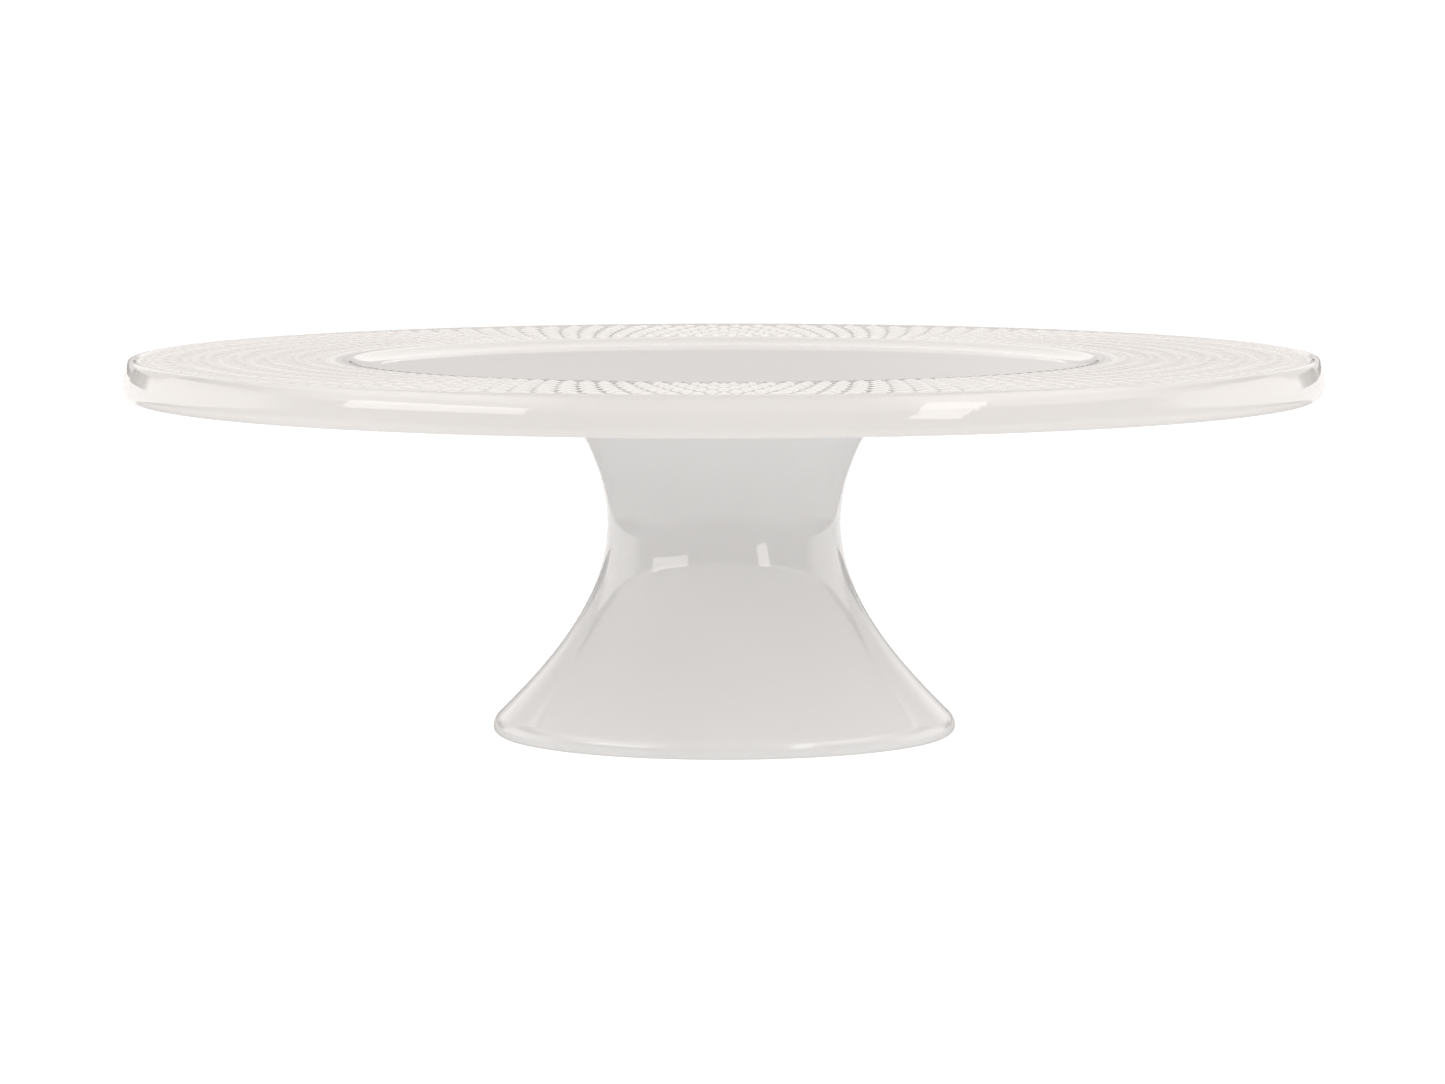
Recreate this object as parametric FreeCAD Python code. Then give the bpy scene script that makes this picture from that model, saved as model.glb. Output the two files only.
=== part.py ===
import FreeCAD, Part

import math
import os

# A footed cake stand in glazed porcelain, in millimetres, with +Z up.
# The origin is the centre of the foot ring, on the surface that the stand rests on.
# Every section is drawn in the XZ plane as radius and height, and turned about Z.

# Overall size
STAND_HEIGHT = 95.0
PLATE_RADIUS = 150.0

# Plate: the rim and its skirt
LIP_INNER_RADIUS = 146.6
LIP_CREST_RADIUS = 147.6
LIP_OUTER_RADIUS = 148.75
LIP_SHOULDER_DROP = 0.4
SKIRT_DEPTH = 10.5
SKIRT_THICKNESS = 4.0
SKIRT_OUTER_ROUND = 2.4
SKIRT_INNER_FILLET = 3.0
SKIRT_BULGE_RADIUS = 149.68
SKIRT_BULGE_DROP = 4.2
RIM_THICKNESS = 5.0

# Plate: the well and the underside
WELL_RADIUS = 93.7
WELL_FLOOR_RADIUS = 86.5
WELL_DEPTH = 2.4
WELL_THICKNESS = 4.6
UNDERSIDE_STEP_INNER_RADIUS = 86.0
UNDERSIDE_STEP_OUTER_RADIUS = 98.0

# Plate: the embossed diamonds, set on rings whose radii shrink by one ratio
DIAMONDS_PER_RING = 144
FIRST_RING_RADIUS = 146.4
LAST_RING_RADIUS = 94.0
LAST_RING = 7
RELIEF_SINK = 0.6
DIAMOND_HEIGHT = 0.6
HALF_DIAMOND_HEIGHT = 0.25

# Pedestal: the outline's radius and height at its stations, from above the foot up to below the flare
WAIST_STATIONS = [
    (46.5, 16.0),
    (35.7, 31.0),
    (29.3, 53.5),
    (32.9, 70.0),
]
FLARE_SLOPE = 0.9
PEDESTAL_TOP_RADIUS = 44.4
TOP_STRAIGHT_HEIGHT = 1.2
PEDESTAL_WALL = 4.2
FOOT_RING_OUTER_RADIUS = 55.15
FOOT_EDGE_ROUND = 2.85
FOOT_EDGE_TURN = math.radians(135)
FOOT_INNER_RADIUS = 49.8
FOOT_INNER_ROUND = 1.2
FOOT_INNER_HEIGHT = 2.2

# Joint: spigot under the plate, rebate in the pedestal's mouth, slip between them
SPIGOT_RADIUS = 39.4
SPIGOT_HEIGHT = 1.2
SLIP_LAYER = 0.5
SLIP_COLLAR = 0.8
REBATE_DEPTH = 1.5
REBATE_LEDGE = 1.3
SLIP_FILLET_REACH = 1.7
SLIP_FILLET_WAIST = 0.425
SLIP_FILLET_SAG = 0.05
SLIP_BEAD_REACH = 0.9
SLIP_BEAD_WAIST = 0.315

# Heights that follow from the sizes above
WELL_FLOOR = STAND_HEIGHT - WELL_DEPTH
WELL_UNDERSIDE = WELL_FLOOR - WELL_THICKNESS
RIM_UNDERSIDE = STAND_HEIGHT - RIM_THICKNESS
RELIEF_FLOOR = STAND_HEIGHT - RELIEF_SINK
SKIRT_BOTTOM = STAND_HEIGHT - SKIRT_DEPTH
SPIGOT_BOTTOM = WELL_UNDERSIDE - SPIGOT_HEIGHT
PEDESTAL_TOP = WELL_UNDERSIDE - SLIP_LAYER
REBATE_FLOOR = PEDESTAL_TOP - REBATE_DEPTH
MOUTH_RADIUS = SPIGOT_RADIUS + SLIP_COLLAR
LEDGE_RADIUS = MOUTH_RADIUS - REBATE_LEDGE
FLARE_START = PEDESTAL_TOP - TOP_STRAIGHT_HEIGHT
FLARE_START_RADIUS = PEDESTAL_TOP_RADIUS - FLARE_SLOPE * TOP_STRAIGHT_HEIGHT
FOOT_SHOULDER_RADIUS = FOOT_RING_OUTER_RADIUS + FOOT_EDGE_ROUND * math.sin(FOOT_EDGE_TURN)
FOOT_SHOULDER = FOOT_EDGE_ROUND * (1 - math.cos(FOOT_EDGE_TURN))

AXIS_BASE = FreeCAD.Vector(0, 0, 0)
AXIS = FreeCAD.Vector(0, 0, 1)


def at(radius, height):
    """A point of a section, by its radius and height."""
    return FreeCAD.Vector(radius, 0, height)


def line(start, end):
    return Part.LineSegment(start, end).toShape()


def arc(start, middle, end):
    return Part.Arc(start, middle, end).toShape()


def level_arc(start, end):
    """An arc that leaves start along the radius and ends at end."""
    reach = end.x - start.x
    rise = end.z - start.z
    radius = (reach**2 + rise**2) / (2 * rise)
    half_turn = math.atan2(rise, abs(reach))
    side = math.copysign(1, reach)
    middle = at(start.x + side * radius * math.sin(half_turn), start.z + radius * (1 - math.cos(half_turn)))
    return arc(start, middle, end)


def round_corner(start, corner, end):
    """A quarter round from start to end, tangent to both legs of the corner between them."""
    centre = start + end - corner
    radius = (start - centre).Length
    middle = centre + (corner - centre).normalize() * radius
    return arc(start, middle, end)


def turned_faces(edges):
    """The faces that a section's edges sweep in one turn about the axis."""
    return Part.Wire(edges).revolve(AXIS_BASE, AXIS, 360).Faces


def turned_solid(edges):
    """A solid ring from a closed section."""
    return Part.Face(Part.Wire(edges)).revolve(AXIS_BASE, AXIS, 360)


def closed_solid(faces):
    """One solid inside a closed set of faces that share their edges."""
    skin = Part.Compound(faces)
    skin.sewShape()
    return Part.Solid(skin.Shells[0])


def skirt_edges():
    """From the rim's edge of the relief, over the lip, down the skirt and under it to the underside."""
    lip_foot = at(LIP_INNER_RADIUS, RELIEF_FLOOR)
    lip_inner = at(LIP_INNER_RADIUS, STAND_HEIGHT - LIP_SHOULDER_DROP)
    lip_crest = at(LIP_CREST_RADIUS, STAND_HEIGHT)
    lip_outer = at(LIP_OUTER_RADIUS, STAND_HEIGHT - LIP_SHOULDER_DROP)
    bulge = at(SKIRT_BULGE_RADIUS, STAND_HEIGHT - SKIRT_BULGE_DROP)
    skirt_low = at(PLATE_RADIUS, SKIRT_BOTTOM + SKIRT_OUTER_ROUND)
    bottom_radius = PLATE_RADIUS - SKIRT_OUTER_ROUND
    bottom = at(bottom_radius, SKIRT_BOTTOM)
    inside_radius = PLATE_RADIUS - SKIRT_THICKNESS
    inner_round = bottom_radius - inside_radius
    inside_low = at(inside_radius, SKIRT_BOTTOM + inner_round)
    inside_high = at(inside_radius, RIM_UNDERSIDE - SKIRT_INNER_FILLET)
    underside_start = at(inside_radius - SKIRT_INNER_FILLET, RIM_UNDERSIDE)
    return [
        line(lip_foot, lip_inner),
        arc(lip_inner, lip_crest, lip_outer),
        arc(lip_outer, bulge, skirt_low),
        round_corner(skirt_low, at(PLATE_RADIUS, SKIRT_BOTTOM), bottom),
        round_corner(bottom, at(inside_radius, SKIRT_BOTTOM), inside_low),
        line(inside_low, inside_high),
        round_corner(inside_high, at(inside_radius, RIM_UNDERSIDE), underside_start),
    ]


def underside_edges():
    """From the skirt's fillet, over the step under the well and the spigot, to the axis."""
    rim_start = at(PLATE_RADIUS - SKIRT_THICKNESS - SKIRT_INNER_FILLET, RIM_UNDERSIDE)
    step_outer = at(UNDERSIDE_STEP_OUTER_RADIUS, RIM_UNDERSIDE)
    step_inner = at(UNDERSIDE_STEP_INNER_RADIUS, WELL_UNDERSIDE)
    step_middle = (step_outer + step_inner) * 0.5
    spigot_root = at(SPIGOT_RADIUS, WELL_UNDERSIDE)
    spigot_edge = at(SPIGOT_RADIUS, SPIGOT_BOTTOM)
    return [
        line(rim_start, step_outer),
        level_arc(step_outer, step_middle),
        level_arc(step_inner, step_middle),
        line(step_inner, spigot_root),
        line(spigot_root, spigot_edge),
        line(spigot_edge, at(0, SPIGOT_BOTTOM)),
    ]


def well_edges():
    """The cove that runs down from the relief, and the flat floor of the well."""
    well_edge = at(WELL_RADIUS, RELIEF_FLOOR)
    floor_edge = at(WELL_FLOOR_RADIUS, WELL_FLOOR)
    return [
        level_arc(floor_edge, well_edge),
        line(floor_edge, at(0, WELL_FLOOR)),
    ]


def ring_radius(ring):
    shrink = (LAST_RING_RADIUS / FIRST_RING_RADIUS) ** (1 / LAST_RING)
    return FIRST_RING_RADIUS * shrink**ring


def relief_point(ring, half_steps, height):
    """A point on a ring of the relief. Two half steps are one diamond's width."""
    angle = half_steps * math.pi / DIAMONDS_PER_RING
    radius = ring_radius(ring)
    return FreeCAD.Vector(radius * math.cos(angle), radius * math.sin(angle), height)


def pyramid(corners, peak):
    """Flat facets from each side of a polygon up to one peak."""
    facets = []
    for index, corner in enumerate(corners):
        following = corners[(index + 1) % len(corners)]
        facets.append(Part.Face(Part.makePolygon([corner, following, peak, corner])))
    return facets


def diamond(ring, half_steps):
    """One whole diamond, with its centre on a ring and its tips on the rings beside it."""
    corners = [
        relief_point(ring - 1, half_steps, RELIEF_FLOOR),
        relief_point(ring, half_steps + 1, RELIEF_FLOOR),
        relief_point(ring + 1, half_steps, RELIEF_FLOOR),
        relief_point(ring, half_steps - 1, RELIEF_FLOOR),
    ]
    return pyramid(corners, relief_point(ring, half_steps, RELIEF_FLOOR + DIAMOND_HEIGHT))


def half_diamond(ring, inward_ring, half_steps):
    """The half of a diamond that is left where the lip or the well cuts the pattern."""
    corners = [
        relief_point(ring, half_steps - 1, RELIEF_FLOOR),
        relief_point(ring, half_steps + 1, RELIEF_FLOOR),
        relief_point(inward_ring, half_steps, RELIEF_FLOOR),
    ]
    peak = (corners[0] + corners[1] + corners[2]) * (1 / 3)
    peak.z = RELIEF_FLOOR + HALF_DIAMOND_HEIGHT
    return pyramid(corners, peak)


def relief_faces():
    """All diamonds. Odd rings have theirs on the whole steps, and even rings between them."""
    faces = []
    for step in range(DIAMONDS_PER_RING):
        for ring in range(1, LAST_RING):
            faces += diamond(ring, 2 * step + (ring + 1) % 2)
        faces += half_diamond(0, 1, 2 * step + 1)
        faces += half_diamond(LAST_RING, LAST_RING - 1, 2 * step + (LAST_RING + 1) % 2)
    return faces


def ring_outline(ring):
    """The many-sided outline of the relief along its first or last ring."""
    start = (ring + 1) % 2 - 1
    corners = [relief_point(ring, start + 2 * step, RELIEF_FLOOR) for step in range(DIAMONDS_PER_RING)]
    return Part.makePolygon(corners + corners[:1])


def circle(radius, height):
    return Part.Wire(Part.makeCircle(radius, FreeCAD.Vector(0, 0, height), AXIS))


def margin_faces():
    """The flat margins between the relief's straight-sided outlines and the round edges beside it."""
    outer = [circle(LIP_INNER_RADIUS, RELIEF_FLOOR), ring_outline(0)]
    inner = [ring_outline(LAST_RING), circle(WELL_RADIUS, RELIEF_FLOOR)]
    return [Part.makeFace(outlines, "Part::FaceMakerBullseye") for outlines in (outer, inner)]


def make_plate():
    faces = turned_faces(skirt_edges() + underside_edges())
    faces += turned_faces(well_edges())
    faces += margin_faces()
    faces += relief_faces()
    return closed_solid(faces)


def outer_wall_curve():
    """The waisted outline from the foot's shoulder to the straight stretch below the top."""
    points = [at(FOOT_SHOULDER_RADIUS, FOOT_SHOULDER)]
    points += [at(radius, height) for radius, height in WAIST_STATIONS]
    points.append(at(FLARE_START_RADIUS, FLARE_START))
    curve = Part.BSplineCurve()
    curve.interpolate(
        Points=points,
        InitialTangent=at(math.cos(FOOT_EDGE_TURN), math.sin(FOOT_EDGE_TURN)),
        FinalTangent=at(FLARE_SLOPE, 1),
    )
    return curve


def inner_wall_curve(outer_curve):
    """The outline moved in by the wall, from the foot ring's inner face up to the rebate's ledge."""
    points = [at(FOOT_INNER_RADIUS, FOOT_INNER_HEIGHT)]
    for radius, height in WAIST_STATIONS:
        tangent = outer_curve.tangent(outer_curve.parameter(at(radius, height)))[0]
        inward = FreeCAD.Vector(-tangent.z, 0, tangent.x)
        points.append(at(radius, height) + inward * PEDESTAL_WALL)
    points.append(at(LEDGE_RADIUS, REBATE_FLOOR))
    curve = Part.BSplineCurve()
    curve.interpolate(
        Points=points,
        InitialTangent=AXIS,
        FinalTangent=at(FLARE_SLOPE, 1),
    )
    return curve


def make_pedestal():
    outer_curve = outer_wall_curve()
    inner_curve = inner_wall_curve(outer_curve)
    foot_outer = at(FOOT_RING_OUTER_RADIUS, 0)
    foot_inner = at(FOOT_INNER_RADIUS + FOOT_INNER_ROUND, 0)
    foot_inner_high = at(FOOT_INNER_RADIUS, FOOT_INNER_ROUND)
    edges = [
        line(foot_inner, foot_outer),
        level_arc(foot_outer, at(FOOT_SHOULDER_RADIUS, FOOT_SHOULDER)),
        outer_curve.toShape(),
        line(at(FLARE_START_RADIUS, FLARE_START), at(PEDESTAL_TOP_RADIUS, PEDESTAL_TOP)),
        line(at(PEDESTAL_TOP_RADIUS, PEDESTAL_TOP), at(MOUTH_RADIUS, PEDESTAL_TOP)),
        line(at(MOUTH_RADIUS, PEDESTAL_TOP), at(MOUTH_RADIUS, REBATE_FLOOR)),
        line(at(MOUTH_RADIUS, REBATE_FLOOR), at(LEDGE_RADIUS, REBATE_FLOOR)),
        inner_curve.toShape(),
        line(at(FOOT_INNER_RADIUS, FOOT_INNER_HEIGHT), foot_inner_high),
        round_corner(foot_inner_high, at(FOOT_INNER_RADIUS, 0), foot_inner),
    ]
    return turned_solid(edges)


def make_luting_slip():
    """The slip fills the rebate round the spigot, covers the top land, and rounds off inside and outside."""
    ledge_inner = at(LEDGE_RADIUS, REBATE_FLOOR)
    ledge_outer = at(MOUTH_RADIUS, REBATE_FLOOR)
    land_inner = at(MOUTH_RADIUS, PEDESTAL_TOP)
    land_outer = at(PEDESTAL_TOP_RADIUS, PEDESTAL_TOP)
    fillet_low = at(FLARE_START_RADIUS, FLARE_START)
    fillet_high = at(PEDESTAL_TOP_RADIUS + SLIP_FILLET_REACH, WELL_UNDERSIDE)
    fillet_middle = at(PEDESTAL_TOP_RADIUS + SLIP_FILLET_WAIST, PEDESTAL_TOP - SLIP_FILLET_SAG)
    spigot_root = at(SPIGOT_RADIUS, WELL_UNDERSIDE)
    spigot_edge = at(SPIGOT_RADIUS, SPIGOT_BOTTOM)
    bead_high = at(LEDGE_RADIUS - SLIP_BEAD_REACH, SPIGOT_BOTTOM)
    bead_middle = at(LEDGE_RADIUS - SLIP_BEAD_WAIST, (SPIGOT_BOTTOM + REBATE_FLOOR) / 2)
    edges = [
        line(ledge_inner, ledge_outer),
        line(ledge_outer, land_inner),
        line(land_inner, land_outer),
        line(land_outer, fillet_low),
        arc(fillet_low, fillet_middle, fillet_high),
        line(fillet_high, spigot_root),
        line(spigot_root, spigot_edge),
        line(spigot_edge, bead_high),
        arc(bead_high, bead_middle, ledge_inner),
    ]
    return turned_solid(edges)


PARTS = {
    "plate": make_plate,
    "pedestal": make_pedestal,
    "luting_slip": make_luting_slip,
}

os.makedirs("parts", exist_ok=True)
for name, make in PARTS.items():
    solid = make()
    solid.exportStep(f"parts/{name}.step")
    print(name, "valid", solid.isValid(), "volume", round(solid.Volume), "box", solid.BoundBox)
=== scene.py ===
import math

import bmesh
import bpy
import numpy as np
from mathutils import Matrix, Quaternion, Vector


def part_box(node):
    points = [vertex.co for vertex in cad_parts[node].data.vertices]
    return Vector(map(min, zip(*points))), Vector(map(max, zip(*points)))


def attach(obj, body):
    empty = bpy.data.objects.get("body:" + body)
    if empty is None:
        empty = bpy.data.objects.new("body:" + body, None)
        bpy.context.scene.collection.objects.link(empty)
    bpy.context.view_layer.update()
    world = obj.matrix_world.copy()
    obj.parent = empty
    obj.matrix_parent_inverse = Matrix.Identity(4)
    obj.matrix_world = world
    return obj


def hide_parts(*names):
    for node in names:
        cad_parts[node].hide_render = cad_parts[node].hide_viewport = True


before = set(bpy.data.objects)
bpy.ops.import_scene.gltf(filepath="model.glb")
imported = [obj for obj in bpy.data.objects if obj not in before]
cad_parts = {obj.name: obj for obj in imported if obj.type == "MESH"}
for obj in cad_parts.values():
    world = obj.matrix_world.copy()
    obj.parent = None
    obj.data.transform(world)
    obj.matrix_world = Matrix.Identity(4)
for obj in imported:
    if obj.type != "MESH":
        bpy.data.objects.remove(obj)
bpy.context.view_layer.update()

# The frame's sizes, in metres. The stand is turned about Z, so a box gives radii and heights.
plate_low, plate_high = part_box("plate")
pedestal_low, pedestal_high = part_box("pedestal")
slip_low, slip_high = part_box("luting_slip")

STAND_TOP = plate_high.z
PLATE_RADIUS = plate_high.y
SKIRT_BOTTOM = plate_low.z
PEDESTAL_TOP = pedestal_high.z
FOOT_RADIUS = pedestal_high.x
SLIP_BOTTOM = slip_low.z
WELL_UNDERSIDE = slip_high.z
SLIP_RADIUS = slip_high.x

# Rim: the embossed band between the lip and the well
DIAMONDS_PER_RING = 144
RELIEF_RINGS = 7
RELIEF_OUTER_RADIUS = PLATE_RADIUS - 0.0036
RELIEF_INNER_RADIUS = PLATE_RADIUS - 0.056
GROOVE_HEIGHT = STAND_TOP - 0.00064
WELL_EDGE_HEIGHT = STAND_TOP - 0.0006
LIP_EDGE_HEIGHT = STAND_TOP - 0.0005
DIAMOND_HEIGHT = 0.00064
DIAMOND_FULLNESS = 1.3
FACETS_PER_SIDE = 6
OUTER_FADE = 0.0011
INNER_FADE = 0.0085
PLATE_SEGMENTS = DIAMONDS_PER_RING * FACETS_PER_SIDE
PLATE_WELD = 0.00001

# Rim: the smooth lip and the skirt below it
LIP_FOOT_RADIUS = PLATE_RADIUS - 0.0034
LIP_CREST_RADIUS = PLATE_RADIUS - 0.0022
LIP_OUTER_RADIUS = PLATE_RADIUS - 0.0014
LIP_SHOULDER_DROP = 0.00045
SKIRT_BULGE_RADIUS = PLATE_RADIUS - 0.00045
SKIRT_BULGE_DROP = 0.0031
SKIRT_EDGE = SKIRT_BOTTOM + 0.0005
SKIRT_OUTER_ROUND = 0.0024
SKIRT_OUTER_ROUND_HEIGHT = 0.0030
SKIRT_THICKNESS = 0.004
SKIRT_FILLET = 0.003
RIM_UNDERSIDE = STAND_TOP - 0.005
LIP_STEPS = 7
SKIRT_STEPS = 6
SKIRT_OUTER_ROUND_STEPS = 8
SKIRT_INNER_ROUND_STEPS = 4

# Well and underside
WELL_EDGE_ROUND = 0.0006
WELL_EDGE_DROP = 0.2 * WELL_EDGE_ROUND
WELL_COVE_STEPS = 7
WELL_FLOOR_RADIUS = 0.0865
WELL_FLOOR = STAND_TOP - 0.0024
WELL_FLOOR_RINGS = (0.06, 0.02, 0)
STEP_OUTER_RADIUS = 0.098
STEP_INNER_RADIUS = 0.086
STEP_ARC_STEPS = 3
SPIGOT_RADIUS = 0.0394
SPIGOT_BOTTOM = WELL_UNDERSIDE - 0.0012

# Pedestal: radius and height of the waist's stations, and the sizes of its foot and mouth
WAIST_STATIONS = [(0.0465, 0.016), (0.0357, 0.031), (0.0293, 0.0535), (0.0329, 0.070)]
FLARE_SLOPE = 0.9
TOP_RADIUS = 0.0444
TOP_STRAIGHT = 0.0012
FOOT_LOWER_ROUND = 0.00285
FOOT_LOWER_ROUND_HEIGHT = 0.0020
FOOT_UPPER_ROUND = 0.0046
FOOT_UPPER_TURN = math.radians(45)
FOOT_RING_OUTER_RADIUS = FOOT_RADIUS - FOOT_LOWER_ROUND
FOOT_INNER_RADIUS = 0.0498
FOOT_INNER_ROUND = 0.0012
FOOT_INNER_HEIGHT = 0.0022
PEDESTAL_WALL = 0.0042
MOUTH_RADIUS = 0.0402
LEDGE_RADIUS = 0.0389
PEDESTAL_SEGMENTS = 288
PEDESTAL_WELD = 0.000001
OUTER_WALL_STEPS = 56
INNER_WALL_STEPS = 28
FOOT_LOWER_STEPS = 6
FOOT_UPPER_STEPS = 8
FOOT_INNER_STEPS = 5
BARE_RING_HEIGHT = 0.0003

# Slip seam: the fillet outside and the bead inside
FILLET_SHARE = 0.25
FILLET_DROP = 0.00005
FILLET_STEPS = 7
BEAD_TOP_RADIUS = LEDGE_RADIUS - 0.0009
BEAD_MIDDLE_RADIUS = LEDGE_RADIUS - 0.0003
BEAD_STEPS = 5


def bevel_points(start, corner, end, steps):
    """A quarter round between the two legs of a right-angled corner, without its start point."""
    start, corner, end = Vector(start), Vector(corner), Vector(end)
    centre = start + end - corner
    points = []
    for step in range(1, steps + 1):
        turn = math.pi / 2 * step / steps
        point = centre + (start - centre) * math.cos(turn) + (end - centre) * math.sin(turn)
        points.append(tuple(point))
    return points


def level_arc_points(start, end, steps):
    """An arc that leaves start along the radius and ends at end, without its start point."""
    reach = end[0] - start[0]
    rise = end[1] - start[1]
    radius = (reach**2 + rise**2) / (2 * rise)
    whole_turn = 2 * math.atan2(abs(rise), abs(reach))
    side = math.copysign(1, reach)
    points = []
    for step in range(1, steps + 1):
        turn = whole_turn * step / steps
        out = abs(radius) * math.sin(turn)
        up = radius * (1 - math.cos(turn))
        points.append((start[0] + side * out, start[1] + up))
    return points


def arc_points(start, middle, end, steps):
    """An arc through three points, without its start point."""
    start, middle, end = Vector(start), Vector(middle), Vector(end)
    a, b = middle - start, end - start
    cross = 2 * (a.x * b.y - a.y * b.x)
    centre_x = (b.y * a.length_squared - a.y * b.length_squared) / cross
    centre_y = (a.x * b.length_squared - b.x * a.length_squared) / cross
    centre = start + Vector((centre_x, centre_y))
    whole_turn = (start - centre).angle_signed(end - centre)
    points = []
    for step in range(1, steps + 1):
        turn = -whole_turn * step / steps
        arm = start - centre
        x = arm.x * math.cos(turn) - arm.y * math.sin(turn)
        y = arm.x * math.sin(turn) + arm.y * math.cos(turn)
        points.append((centre.x + x, centre.y + y))
    return points


def smooth_curve(stations, start_slope, end_slope, steps):
    """Points on the cubic spline of radius over height through the stations, with given end slopes."""
    radii = np.array([station[0] for station in stations])
    heights = np.array([station[1] for station in stations])
    gaps = np.diff(heights)
    rises = np.diff(radii) / gaps
    count = len(stations)
    system = np.zeros((count, count))
    wanted = np.zeros(count)
    system[0, :2] = [2 * gaps[0], gaps[0]]
    wanted[0] = 6 * (rises[0] - start_slope)
    for row in range(1, count - 1):
        system[row, row - 1 : row + 2] = [gaps[row - 1], 2 * (gaps[row - 1] + gaps[row]), gaps[row]]
        wanted[row] = 6 * (rises[row] - rises[row - 1])
    system[-1, -2:] = [gaps[-1], 2 * gaps[-1]]
    wanted[-1] = 6 * (end_slope - rises[-1])
    bends = np.linalg.solve(system, wanted)
    points = []
    for height in np.linspace(heights[0], heights[-1], steps + 1):
        span = min(np.searchsorted(heights, height, side="right") - 1, count - 2)
        gap = gaps[span]
        before = height - heights[span]
        after = heights[span + 1] - height
        radius = (bends[span] * after**3 + bends[span + 1] * before**3) / (6 * gap)
        radius += (radii[span] / gap - bends[span] * gap / 6) * after
        radius += (radii[span + 1] / gap - bends[span + 1] * gap / 6) * before
        points.append((float(radius), float(height)))
    return points


def turned_mesh(name, outlines, segments, closed=False):
    """A mesh that outlines of (radius, height) points sweep in one turn about Z."""
    vertices = []
    faces = []
    for outline in outlines:
        rings = []
        for radius, height in outline:
            first = len(vertices)
            if radius == 0:
                vertices.append((0, 0, height))
                rings.append([first] * segments)
                continue
            for segment in range(segments):
                angle = 2 * math.pi * segment / segments
                vertices.append((radius * math.cos(angle), radius * math.sin(angle), height))
            rings.append(list(range(first, first + segments)))
        pairs = list(zip(rings, rings[1:]))
        if closed:
            pairs.append((rings[-1], rings[0]))
        for near, far in pairs:
            for segment in range(segments):
                following = (segment + 1) % segments
                corners = [near[segment], near[following], far[following], far[segment]]
                faces.append(list(dict.fromkeys(corners)))
    mesh = bpy.data.meshes.new(name)
    mesh.from_pydata(vertices, [], faces)
    return mesh


def close_and_face_outwards(mesh, merge_distance):
    """Welds points that coincide, turns every face outwards and shades it smooth."""
    shell = bmesh.new()
    shell.from_mesh(mesh)
    bmesh.ops.remove_doubles(shell, verts=shell.verts, dist=merge_distance)
    bmesh.ops.recalc_face_normals(shell, faces=shell.faces)
    for face in shell.faces:
        face.smooth = True
    shell.to_mesh(mesh)
    shell.free()


def add_piece(name, mesh):
    piece = bpy.data.objects.new(name, mesh)
    bpy.context.scene.collection.objects.link(piece)
    return piece


# ---------------------------------------------------------------- node trees


class Tree:
    """Short ways to add and join nodes."""

    def __init__(self, tree):
        self.tree = tree

    def add(self, kind, values=None, **settings):
        """A node with its settings, and with values or links for its inputs, by name or number."""
        node = self.tree.nodes.new(kind)
        for setting, value in settings.items():
            setattr(node, setting, value)
        for socket, value in (values or {}).items():
            self.feed(node.inputs[socket], value)
        return node

    def feed(self, socket, value):
        if isinstance(value, bpy.types.NodeSocket):
            self.tree.links.new(value, socket)
        else:
            socket.default_value = value

    def math(self, operation, first, second=0.0):
        node = self.add("ShaderNodeMath", {0: first, 1: second}, operation=operation)
        return node.outputs[0]

    def ranged(self, value, span, results=(0.0, 1.0), curve="LINEAR"):
        """A number that goes from the first result to the second as the value crosses the span."""
        ends = {"From Min": span[0], "From Max": span[1], "To Min": results[0], "To Max": results[1]}
        node = self.add("ShaderNodeMapRange", {"Value": value, **ends}, interpolation_type=curve)
        return node.outputs["Result"]


def diamond_tile(tree, sizes):
    """One raised diamond of the first ring. The grid's X and Y run from groove to groove."""
    grid = tree.add(
        "GeometryNodeMeshGrid",
        {
            "Size X": 1.0,
            "Size Y": 1.0,
            "Vertices X": sizes["Points per side"],
            "Vertices Y": sizes["Points per side"],
        },
    )
    cut = tree.add("GeometryNodeTriangulate", {"Mesh": grid.outputs["Mesh"]}, quad_method="FIXED")
    place = tree.add("ShaderNodeSeparateXYZ", {0: tree.add("GeometryNodeInputPosition").outputs[0]})
    across, along = place.outputs["X"], place.outputs["Y"]
    around = tree.math("MULTIPLY", tree.math("ADD", across, along), 0.5)
    inward = tree.math("SUBTRACT", across, along)
    angle = tree.math("MULTIPLY", around, sizes["angle step"])
    shrink = tree.math("POWER", sizes["ring ratio"], inward)
    radius = tree.math("MULTIPLY", sizes["Outer radius"], shrink)
    wave_across = tree.math("COSINE", tree.math("MULTIPLY", across, math.pi))
    wave_along = tree.math("COSINE", tree.math("MULTIPLY", along, math.pi))
    swell = tree.math("MAXIMUM", tree.math("MULTIPLY", wave_across, wave_along), 0.0)
    fullness = tree.math("POWER", swell, sizes["Fullness"])
    height = tree.math("MULTIPLY", fullness, sizes["Diamond height"])
    point = tree.add(
        "ShaderNodeCombineXYZ",
        {
            "X": tree.math("MULTIPLY", radius, tree.math("COSINE", angle)),
            "Y": tree.math("MULTIPLY", radius, tree.math("SINE", angle)),
            "Z": height,
        },
    )
    return tree.add(
        "GeometryNodeSetPosition",
        {"Geometry": cut.outputs["Mesh"], "Position": point.outputs["Vector"]},
    ).outputs["Geometry"]


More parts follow.
